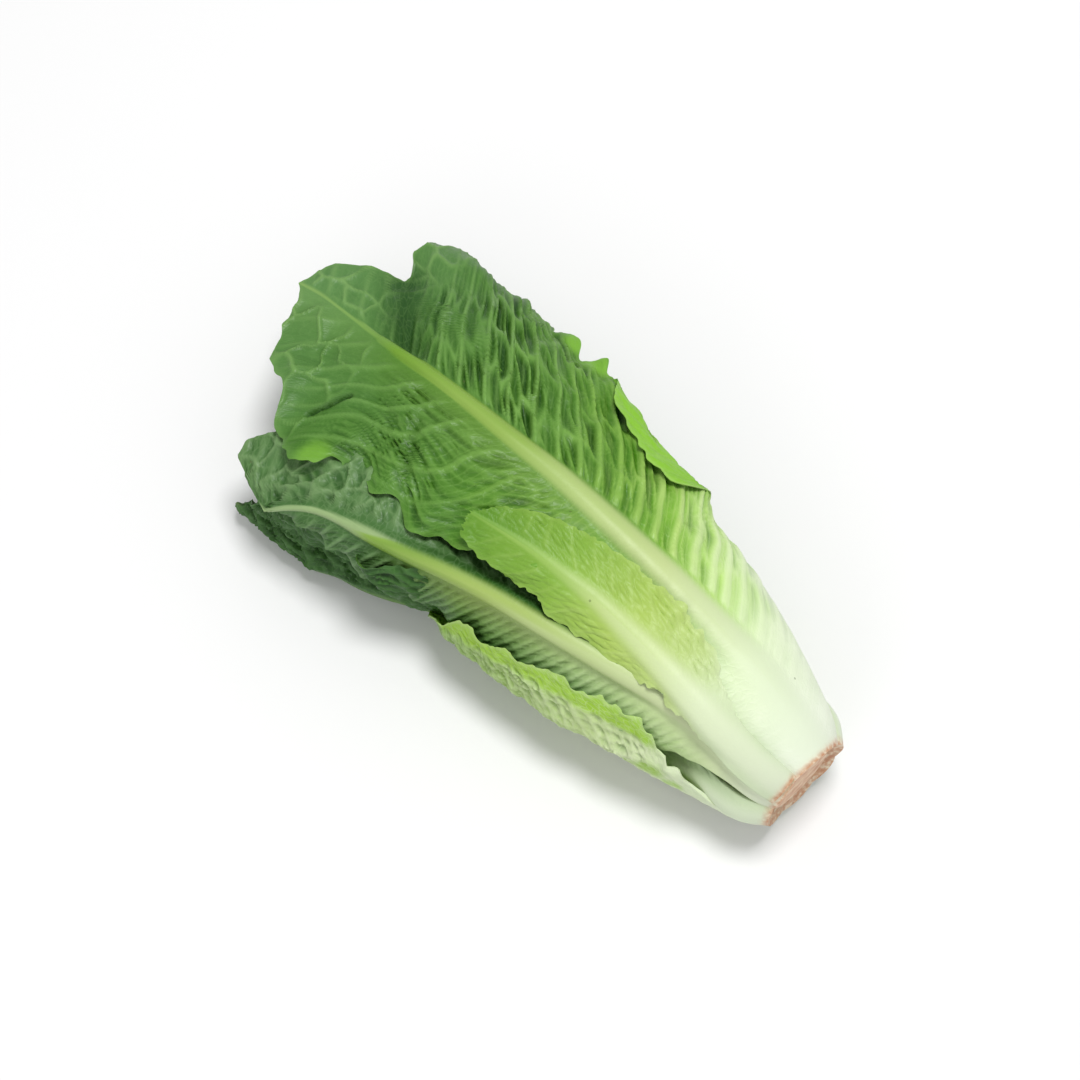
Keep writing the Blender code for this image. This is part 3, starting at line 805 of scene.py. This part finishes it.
top_plan = leaf_plan(
    0, (0.4, 307),
    ((0, 16), (0.12, 18), (0.25, 17), (0.37, 15), (0.5, 13.5), (0.62, 11), (0.95, 11), (1, 7)),
    ((0, 14), (0.08, 20), (0.16, 28), (0.3, 34), (0.42, 38), (0.5, 46), (0.556, 51), (0.6, 56), (0.65, 51),
     (0.68, 55), (0.73, 51), (0.78, 58), (0.86, 51), (0.89, 38), (0.91, 37), (0.94, 32), (1, 26)),
    ((0, 20), (0.05, 24), (0.13, 32), (0.25, 56), (0.31, 57), (0.335, 52), (0.352, 50), (0.37, 60),
     (0.39, 67), (0.45, 68), (0.53, 71), (0.575, 66), (0.588, 63), (0.606, 67), (0.632, 63.5), (0.66, 71),
     (0.69, 70), (0.73, 84), (0.78, 86), (0.87, 76), (1, 70)),
    tip_left=((0, 1), (0.16, 0.985), (0.31, 0.974), (0.69, 0.966), (1, 0.94)),
    tip_right=((0, 1), (0.14, 0.995), (0.24, 0.98), (0.31, 0.94), (0.37, 0.906), (0.42, 0.909), (0.47, 0.918),
               (0.53, 0.932), (0.66, 0.93), (0.82, 0.905), (1, 0.872)),
    curl_left=((0.62, 1.3, 0.55, 0.8, 16),),
    fold_right=((0.34, 0.62, 0.05, ((0.25, 30), (0.6, 36)), 12, 20),
                (0.34, 0.6, 0.02, FLAP_LINE, 6, 160),
                (0.585, 0.7, 0.02, ((0.58, 58), (0.72, 64)), 5, 60)),
    bright=((1, 0.35, 0.61, FLAP_BRIGHT, 3),),
    # All three valleys are darkened as painted shade: the hollow under the notch near the tip, the slit of a
    # fold and a crease on the left blade.
    valleys=((1, (0.81, 6), (0.9, 28), 6.5, 9.5, 1), (-1, (0.835, 43), (0.805, 29), 3, 1.3, 1),
             (-1, (0.66, 40), (0.7, 20), 2, 3, 0.5)),
    fresh=((-1, 0.775, 55, 6, 0.75), (1, 0.607, 66, 8, 1), (1, 0.66, 70, 6, 1)),
    veins_left=top_left, veins_right=top_right, seed=3, ruffle=(1.5, 26), sway=2.4, puff=1.7,
    teeth=(((0, 0.5), (0.3, 1.4), (0.4, 2.2), (0.54, 2.2), (0.6, 0.8), (0.68, 1), (0.75, 2.4), (0.85, 1.4),
            (1, 1.2)), 9),
    rib_half=((0, 13), (0.1, 12), (0.3, 10), (0.5, 7), (0.7, 4), (0.83, 2.8), (0.85, 1.7), (1, 0.9)),
    rib_tall=((0, 1.2), (0.12, 2.6), (0.3, 3.4), (0.5, 3.2), (0.7, 2.3), (0.83, 1.9), (0.85, 0.9), (1, 0.3)),
    rib_soft=((0, 0.8), (0.3, 0.75), (0.6, 0.5), (0.8, 0.3), (1, 0.4)), halo_left=(0.25, 16),
    pale_right=((0, 0), (0.15, -0.06), (0.35, -0.06), (0.5, -0.03), (0.6, 0), (1, 0)))
top_back = leaf_finish(
    "top_leaf_back",
    ((0, 250, 254, 242), (0.14, 242, 252, 220), (0.24, 196, 234, 126), (0.34, 122, 184, 38),
     (0.45, 84, 142, 30), (0.58, 80, 132, 38), (0.8, 78, 127, 47), (1, 99, 144, 81)),
    ((0, 252, 255, 244), (0.2, 240, 252, 212), (0.32, 204, 230, 140), (0.45, 156, 200, 90),
     (0.58, 133, 180, 86), (0.8, 121, 167, 84), (1, 130, 170, 99)),
    ((0, 236, 245, 224), (0.15, 224, 237, 200), (0.3, 199, 215, 150), (0.45, 182, 204, 128),
     (0.6, 150, 182, 86), (0.8, 118, 162, 52), (0.84, 118, 160, 70), (1, 132, 170, 94)),
    lines=0.18, fresh=(126, 182, 58), depth=0.78, net=0.15)
top_face = leaf_finish(
    "top_leaf_face",
    ((0, 236, 250, 220), (0.25, 190, 224, 130), (0.4, 134, 190, 62), (0.6, 124, 184, 56),
     (1, 92, 144, 54)),
    ((0, 240, 252, 226), (0.3, 200, 230, 144), (0.6, 150, 202, 84), (1, 112, 162, 76)),
    ((0, 240, 252, 226), (0.3, 214, 232, 170), (0.7, 160, 196, 104), (1, 120, 164, 80)),
    depth=0.25, net=0.15, fresh=(140, 200, 54))
add_leaf("top_leaf", top_plan, 310, 62, 92, (top_back, top_face))

# %% [markdown]
# ## The leaves of the outside
# The other outer leaves are laid out the same way. Each has its own place, width, colour and folds.

# %% Small front leaf
small_veins = vein_plan(
    lean=0.7, bow=0.01, half=0.8, cell=(5.6, 5), clear=3, wander=5, show=0.6,
    tall=((0, 0), (0.25, 0.1), (0.45, 0.4), (1, 0.5)),
    dip=((0, 0), (0.25, -0.2), (0.4, -0.55), (0.8, -0.55), (1, -0.3)))
small_plan = leaf_plan(
    -1.5, (0.4, 168),
    ((0, -30), (0.15, -28), (0.31, -24), (0.45, -21.5), (0.6, -21), (0.72, -23), (0.83, -25), (1, -31)),
    ((0, 9), (0.12, 9), (0.3, 9), (0.4, 11), (0.5, 16), (0.67, 19), (0.73, 16), (0.8, 16.5), (0.9, 14),
     (1, 9)),
    ((0, 6), (0.12, 7), (0.2, 8.5), (0.26, 13), (0.39, 20), (0.6, 21), (0.76, 19), (0.89, 13), (1, 5)),
    tip_left=((0, 1), (1, 0.98)), tip_right=((0, 1), (1, 0.95)), base=0.8, seed=7,
    curl_left=((0.05, 0.75, 0.25, 0.5, -22),), lift=((0, 0), (0.4, 0), (0.7, 1), (1, 1)),
    # pale_left makes the left blade paler towards its margin: painted light on the side that faces away from
    # the key light.
    pale_left=((0, 0), (0.3, 0.05), (0.8, 0.07), (1, 0.03)),
    veins_left=small_veins, veins_right=small_veins, ruffle=(0.9, 14), sway=0.6, puff=0.5,
    teeth=(((0, 0.2), (0.2, 1.2), (0.35, 2.2), (0.55, 1.6), (0.7, 0.8), (1, 0.8)), 4.6),
    rib_half=((0, 8), (0.2, 9), (0.4, 8.4), (0.6, 6), (0.8, 3), (1, 1)),
    rib_tall=((0, 1), (0.2, 2.4), (0.45, 1.9), (0.7, 0.9), (1, 0.2)),
    rib_soft=((0, 0.8), (0.5, 0.8), (1, 0.6)),
    thick=((0, 3.6), (0.1, 3.6), (0.25, 3), (0.4, 1.4), (0.55, 0.5), (1, 0.4)))
small_back = leaf_finish(
    "small_front_leaf_back",
    ((0, 228, 238, 212), (0.25, 224, 236, 198), (0.38, 206, 225, 146), (0.55, 187, 213, 106),
     (0.75, 148, 190, 74), (1, 100, 152, 44)),
    ((0, 232, 240, 216), (0.3, 226, 238, 200), (0.5, 208, 226, 154), (0.75, 180, 209, 114),
     (1, 138, 182, 80)),
    ((0, 228, 236, 212), (0.25, 225, 236, 200), (0.42, 214, 229, 170), (0.6, 198, 218, 142),
     (0.8, 160, 197, 96), (1, 120, 168, 64)),
    depth=0.3, glow=0.25, net=0.12)
small_face = leaf_finish(
    "small_front_leaf_face",
    ((0, 240, 250, 228), (0.4, 200, 226, 150), (1, 134, 184, 76)),
    ((0, 244, 252, 232), (1, 170, 206, 112)),
    ((0, 244, 252, 232), (1, 170, 206, 112)), depth=0.15, net=0.2)
add_leaf("small_front_leaf", small_plan, 250, 34, 38, (small_back, small_face))

# %% Front leaf
# The left blade's troughs between its corrugations are darkened as painted shade.
front_left = vein_plan(
    lean=0.2, bow=0.012, spacing=((0, 4.5), (0.6, 5), (1, 9)), half=0.95, cell=(4, 7), clear=7,
    tall=((0, 0), (0.12, 0.4), (0.25, 1.3), (0.8, 1.3), (1, 0.6)), trough=0.42, wander=1.2,
    dip=((0, 0), (0.12, 0.1), (0.25, 0.4), (0.7, 0.6), (1, 0.6)))
front_right = vein_plan(
    lean=0.4, bow=0.004, spacing=9, half=1.2, cell=(4.6, 11), show=0.8, net=(10, 1.2, 0.8),
    tall=((0, 0), (0.3, 0.6), (0.8, 0.8), (1, 0.6)), dip=((0, 0), (0.3, 0.8), (0.8, 1.2), (1, 0.9)))
front_plan = leaf_plan(
    2, (0.4, 243),
    ((0, -40), (0.08, -37), (0.25, -39), (0.37, -45), (0.46, -50), (0.56, -55), (0.65, -60), (0.74, -65),
     (0.85, -68), (0.925, -72), (0.98, -79), (1, -83)),
    ((0, 9), (0.12, 12.5), (0.2, 18), (0.4, 29), (0.56, 30), (0.66, 28), (0.78, 21), (0.9, 12), (1, 4)),
    ((0, 8.5), (0.1, 9), (0.2, 16), (0.4, 28), (0.6, 32), (0.78, 32), (0.88, 35), (0.94, 40), (1, 44),
     (1.2, 36)),
    lift=((0, 0), (0.14, 0), (0.3, 3), (0.6, 4), (0.8, 8), (1, 12)),
    tip_left=((0, 1), (1, 0.94)), tip_right=((0, 1), (0.1, 1.065), (0.3, 1.115), (0.5, 1.09), (1, 0.98)),
    curl_left=((0.2, 0.7, 0.02, 0.16, -22), (0.2, 0.7, 0.3, 0.45, 22)),
    curl_right=((0.14, 1.3, 0.02, 0.16, -42), (0.14, 1.3, 0.3, 0.44, 38)),
    under_right=(-64, -48, 11, 0.68), veins_left=front_left, veins_right=front_right,
    seed=11, ruffle=(1.8, 18), teeth=(1.2, 6),
    rib_half=((0, 7.5), (0.2, 7), (0.5, 6.2), (0.75, 5.4), (0.83, 4.6), (0.86, 3.3), (1, 2)),
    rib_tall=((0, 1.4), (0.2, 3), (0.5, 3.8), (0.75, 3.4), (0.83, 2.8), (0.86, 1.8), (1, 0.8)),
    # tint_right and rib_share_right make the midrib's right flank greener than its pale crest: painted shade
    # on the flank that faces the gap under the leaves above.
    rib_soft=((0, 0.7), (0.6, 0.6), (1, 0.5)), pale_left=((0, 0), (0.3, 0.06), (1, 0)), tint_right=0.2,
    halo_left=(((0, 0.8), (0.6, 0.85), (0.74, 0.3), (0.82, 0), (1, 0)), 14.5), rib_share_right=1.8,
    # The two valleys along the right blade are darkened as painted shadow where the margins of the leaves
    # above overhang it.
    valleys=((1, (0.14, 12), (0.7, 14), 2.5, 7, 1), (1, (0.7, 14), (0.84, 26), 4, 6, 1)))
front_back = leaf_finish(
    "front_leaf_back",
    ((0, 240, 247, 226), (0.15, 216, 234, 176), (0.26, 170, 206, 124), (0.38, 110, 162, 84),
     (0.6, 60, 108, 40), (0.78, 66, 109, 48), (0.86, 75, 116, 58), (1, 81, 123, 65)),
    ((0, 240, 247, 226), (0.2, 222, 236, 190), (0.4, 178, 210, 150), (0.6, 116, 160, 92),
     (0.8, 126, 162, 108), (1, 130, 164, 108)),
    ((0, 232, 240, 216), (0.2, 216, 226, 184), (0.4, 194, 212, 146), (0.6, 170, 194, 104),
     (0.8, 132, 168, 70), (0.835, 140, 176, 76), (0.86, 160, 186, 128), (1, 158, 186, 128)), depth=0.68)
front_face = leaf_finish(
    "front_leaf_face",
    ((0, 236, 244, 220), (0.2, 180, 210, 120), (0.4, 96, 146, 60), (1, 78, 122, 54)),
    ((0, 240, 248, 226), (0.4, 140, 184, 96), (1, 110, 150, 84)),
    ((0, 240, 248, 226), (0.5, 170, 200, 110), (1, 130, 168, 90)), depth=0.15, net=0.2)
add_leaf("front_leaf", front_plan, 290, 44, 58, (front_back, front_face))

# %% Low front leaf
low_veins = vein_plan(spacing=13, cell=(6, 8), wander=3.5, tall=((0, 0), (0.3, 0.9), (1, 1.1)),
                      dip=((0, 0), (0.3, 1.7), (1, 2.1)), show=0.25)
low_plan = leaf_plan(
    4, (0.4, 269), ((0, -85), (0.3, -98), (0.6, -108), (0.8, -111), (1, -106)),
    ((0, 8), (0.12, 12), (0.3, 20), (0.6, 20), (0.72, 17), (0.85, 24), (1, 15)),
    ((0, 9), (0.12, 12), (0.3, 24), (0.6, 38), (0.72, 38), (0.85, 44), (1, 26)),
    lift=((0, 0), (0.5, 0), (0.58, 4.5), (0.64, 11.5), (0.69, 17), (0.73, 20), (0.78, 22.5), (0.83, 27),
          (1, 27)),
    tip_left=((0, 1), (1, 0.94)), tip_right=((0, 1), (1, 0.93)),
    curl_right=((0.6, 1.3, 0.02, 0.2, -50), (0.6, 1.3, 0.45, 0.6, 46)),
    veins_left=low_veins, veins_right=low_veins, seed=17, ruffle=(1.6, 20), puff=1.2)
low_back = leaf_finish(
    "low_front_leaf_back",
    ((0, 224, 236, 206), (0.25, 140, 176, 92), (0.45, 66, 110, 46), (0.7, 54, 98, 40), (1, 70, 114, 54)),
    ((0, 230, 242, 214), (0.3, 170, 200, 124), (0.6, 88, 134, 62), (1, 96, 140, 74)),
    ((0, 230, 242, 214), (0.3, 170, 194, 124), (0.5, 96, 132, 62), (1, 88, 128, 66)), depth=0.6)
low_face = leaf_finish(
    "low_front_leaf_face",
    ((0, 230, 240, 214), (0.3, 130, 176, 80), (1, 70, 112, 48)),
    ((0, 236, 246, 222), (0.4, 140, 184, 96), (1, 100, 140, 76)),
    ((0, 236, 246, 222), (0.5, 170, 200, 110), (1, 120, 158, 84)), depth=0.15, net=0.2)
add_leaf("low_front_leaf", low_plan, 240, 26, 46, (low_back, low_face))

# %% Near under leaf
near_veins = vein_plan(
    spacing=8, half=0.9, cell=(4.8, 6.8), wander=4.5, show=0.8, tall=((0, 0), (0.2, 0.4), (1, 0.6)),
    dip=((0, 0), (0.15, 0.4), (0.3, 1.3), (1, 1.6)))
ROLLED_LINE = ((0.2, 34), (0.28, 41), (0.35, 44), (0.48, 46), (0.6, 44), (0.75, 39), (0.88, 32))
near_plan = leaf_plan(
    1, (0.4, 178), ((0, -125), (0.15, -128), (0.4, -130), (1, -124)),
    ((0, 11), (0.12, 13), (0.3, 20), (0.7, 28), (1, 14)),
    ((0, 11), (0.1, 19), (0.19, 32), (0.25, 42), (0.31, 50), (0.36, 54.5), (0.48, 56.5), (0.6, 54),
     (0.75, 49), (0.83, 45), (0.88, 33), (1, 22)),
    lift=((0, 0), (0.15, 0), (0.3, 1.2), (1, 1.2)), curl_right=((0.12, 1.3, 0.86, 0.97, 10),),
    under_left=(-130, -138, 7.5, 0.12),
    valleys=((1, (0.2, 34), (0.84, 31), -2, 4.5, 0),),
    # The bright band and spots are painted a vivid green: painted light on a side that faces down into shade,
    # over the yellow-green of the inner face.
    fresh=((1, 0.27, 29, 6, 0.9), (1, 0.34, 25, 5, 0.8), (1, 0.21, 22, 4, 0.7)),
    bright=((1, 0.28, 0.88, ROLLED_LINE, 3),),
    veins_left=near_veins, veins_right=near_veins, seed=23, ruffle=(1, 14), teeth=(2, 6), puff=1.4)
# The near leaf's back is coloured paler than the leaf is: painted light for a side that faces down, away from
# the key light.
near_back = leaf_finish(
    "near_under_leaf_back",
    ((0, 246, 252, 232), (0.25, 240, 250, 212), (0.45, 216, 236, 164), (0.7, 174, 208, 112),
     (1, 90, 138, 50)),
    ((0, 248, 253, 238), (0.4, 240, 250, 212), (1, 200, 224, 160)),
    ((0, 248, 253, 238), (0.4, 236, 248, 204), (1, 150, 184, 116)),
    depth=0.35, glow=0.3, fresh=(172, 216, 70))
near_face = leaf_finish(
    "near_under_leaf_face",
    ((0, 236, 246, 216), (0.2, 216, 232, 158), (0.35, 190, 216, 104), (0.6, 166, 204, 80),
     (1, 130, 178, 64)),
    ((0, 240, 250, 224), (0.4, 200, 224, 126), (1, 150, 192, 88)),
    ((0, 240, 250, 224), (0.5, 206, 226, 140), (1, 150, 190, 94)),
    depth=0.12, net=0.15, glow=0.3, rim=0.8)
add_leaf("near_under_leaf", near_plan, 190, 26, 62, (near_back, near_face))

# %% Leaves of the far side and the underside
side_back = leaf_finish(
    "side_leaf_back",
    ((0, 236, 246, 220), (0.16, 214, 234, 178), (0.3, 146, 190, 90), (0.45, 96, 150, 56),
     (0.7, 76, 126, 48), (1, 80, 128, 58)),
    ((0, 240, 250, 230), (0.25, 220, 236, 180), (0.5, 144, 186, 102), (1, 112, 158, 82)),
    ((0, 240, 250, 230), (0.3, 210, 226, 168), (0.6, 168, 196, 112), (1, 120, 162, 78)))
side_face = leaf_finish(
    "side_leaf_face",
    ((0, 238, 248, 222), (0.25, 176, 212, 116), (0.5, 108, 162, 60), (1, 84, 134, 52)),
    ((0, 242, 250, 228), (0.4, 170, 206, 110), (1, 110, 156, 76)),
    ((0, 242, 250, 228), (0.4, 190, 216, 130), (1, 126, 168, 84)), depth=0.15, net=0.2)
FAR_WIDTH = ((0, 9), (0.12, 13), (0.3, 28), (0.65, 46), (0.85, 40), (1, 20))
SIDE_LEAVES = {
    "under_leaf": leaf_plan(
        0, (0.4, 250), ((0, 178), (1, 176)),
        ((0, 9), (0.12, 13), (0.3, 32), (0.65, 54), (0.85, 44), (1, 20)),
        ((0, 10), (0.12, 14), (0.3, 29), (0.5, 37), (0.65, 39), (0.85, 30), (1, 16)),
        seed=31, ruffle=(1.2, 24)),
    "far_under_leaf": leaf_plan(
        2, (0.4, 240), ((0, 134), (0.5, 130), (1, 128)),
        ((0, 9), (0.12, 13), (0.3, 28), (0.65, 50), (0.85, 44), (1, 20)), FAR_WIDTH, seed=37),
    "far_leaf": leaf_plan(
        4, (0.4, 222), ((0, 91), (0.5, 84), (1, 82)),
        ((0, 9), (0.12, 13), (0.3, 30), (0.65, 52), (0.85, 46), (1, 22)), FAR_WIDTH, seed=41),
}
for name, plan in SIDE_LEAVES.items():
    add_leaf(name, plan, 180, 38, 38, (side_back, side_face))

# %% [markdown]
# ## The heart
# Inside lie smaller and paler leaves, each a golden angle on from the one before it, as leaves grow on a
# stem. The outer ones are green and the middle is pale yellow.

# %% Inner leaves
GOLDEN_ANGLE = 137.5
FIRST_ANGLE, FIRST_CUT, CUT_STEP = 40.0, 7.0, 2.4
MOST_WRAP = 2.15  # radii, the most that half a leaf goes round
OUTER_HEART = 4  # the heart's largest leaves, which get a finer mesh
WHITE_BASE = (246, 250, 232)
HEART_COLOURS = (((74, 120, 46), (226, 232, 150)), ((110, 160, 66), (236, 240, 176)),
                 ((140, 184, 90), (240, 244, 190)))


def shared(first, last, j):
    """A value that changes evenly from the outermost heart leaf to the innermost."""
    return first + (last - first) * (j / (INNER_LEAVES - 1))


def inner_plan(j):
    """Each heart leaf starts higher up the stem than the one before it, and is shorter and narrower."""
    start, turn = FIRST_CUT + CUT_STEP * j, FIRST_ANGLE + GOLDEN_ANGLE * j
    length, half, base = shared(262.0, 144.0, j), shared(62.0, 32.0, j), shared(4.4, 2.8, j)
    plan = leaf_plan(None, (start, start + length), ((0, turn), (1, turn + 6)), (), (), inner=j)
    most = MOST_WRAP * min(shell_radius(plan, start + f * length, math.pi / 2) for f in (0.5, 0.8))
    half = min(half, most)
    width = ((0, base), (0.18, base + 1.5), (0.4, 0.5 * half), (0.65, half), (0.85, 0.86 * half),
             (1, 0.4 * half))
    calm = vein_plan(tall=((0, 0), (0.3, 0.3), (1, 0.3)), dip=((0, 0), (0.3, 0.4), (1, 0.4)))
    for side in ("left", "right"):
        plan.update({"width_" + side: width, "tip_" + side: ((0, 1), (1, 0.88)), "veins_" + side: calm})
    plan.update(seed=50 + j, ruffle=(0.8, 20.0), sway=0.3, puff=0.3, rib_half=((0, 5), (0.4, 4.5), (1, 1)),
                rib_tall=((0, 0.8), (0.4, 0.8), (1, 0.2)), thick=((0, 1.4), (0.2, 1.0), (0.4, 0.5), (1, 0.4)))
    return plan


def heart_finish(j):
    """One finish for both faces, greener or paler by the leaf's place in the heart."""
    tip, middle, pale = ([shared(a, b, j) for a, b in zip(green, yellow)] for green, yellow in HEART_COLOURS)
    return leaf_finish(f"heart_finish_{j + 1:02d}",
                       ((0, 242, 248, 226), (0.3, *middle), (0.7, *tip), (1, *tip)),
                       ((0, *WHITE_BASE), (0.4, *pale), (1, *pale)), ((0, *WHITE_BASE), (1, *pale)), net=0.2)


for j in range(INNER_LEAVES):
    heart = heart_finish(j)
    rows, columns = (100, 30) if j < OUTER_HEART else (80, 22)
    add_leaf(f"inner_leaf_{j + 1:02d}", inner_plan(j), rows, columns, columns, (heart, heart))

# %% [markdown]
# ## The stem
# The stem is cut flat, and the cut has dried to a pinkish brown. The CAD solid has the right shape, so it
# stays, and only its finish is new.

# %% Stem finish
n = Nodes("stem_finish")
rings = n.noise(190, 4)
browns = n.ramp(rings, ((0.3, 232, 208, 176), (0.5, 216, 176, 142), (0.7, 198, 146, 112)))
n.join(browns, n.shader.inputs["Base Color"])
n.shader.inputs["Roughness"].default_value = 0.6
n.bump(rings, 0.5, 0.0006)
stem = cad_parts["stem"]
stem.data.materials.clear()
stem.data.materials.append(n.material)
print("stem", len(stem.data.polygons), "triangles")
